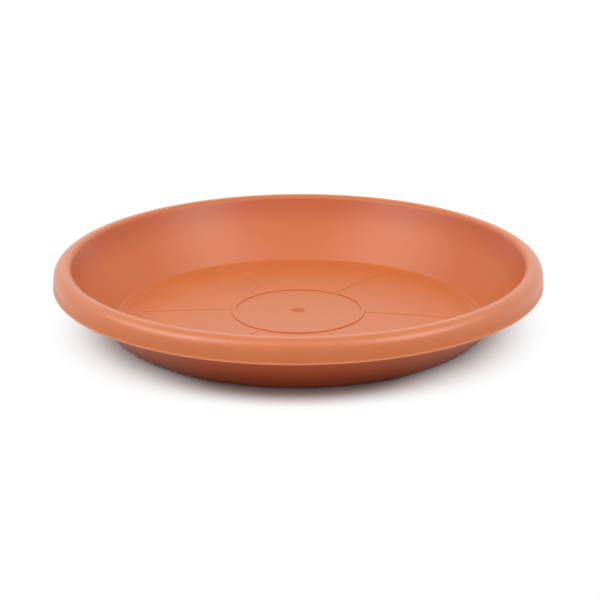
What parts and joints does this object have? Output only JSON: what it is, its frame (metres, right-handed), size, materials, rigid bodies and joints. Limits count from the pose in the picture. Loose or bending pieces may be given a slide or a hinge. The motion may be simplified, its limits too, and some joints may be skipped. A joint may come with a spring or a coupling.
{
  "type": "plant saucer",
  "caption": "Round shallow plastic saucer that catches the water draining from a flower pot, with a leaning wall, a rolled rim and raised beads on a low domed floor.",
  "frame": {"origin": "on the surface that the saucer stands on, at the saucer's axis", "axes": "+Z is the saucer's axis and points up out of its mouth; -Y is the side that faced the camera; +X is to the camera's right"},
  "size_m": [0.3, 0.3, 0.0415],
  "materials": {
    "terracotta_plastic": "satin moulded terracotta"
  },
  "bodies": {
    "root": {"saucer": "terracotta_plastic"}
  },
  "joints": []
}
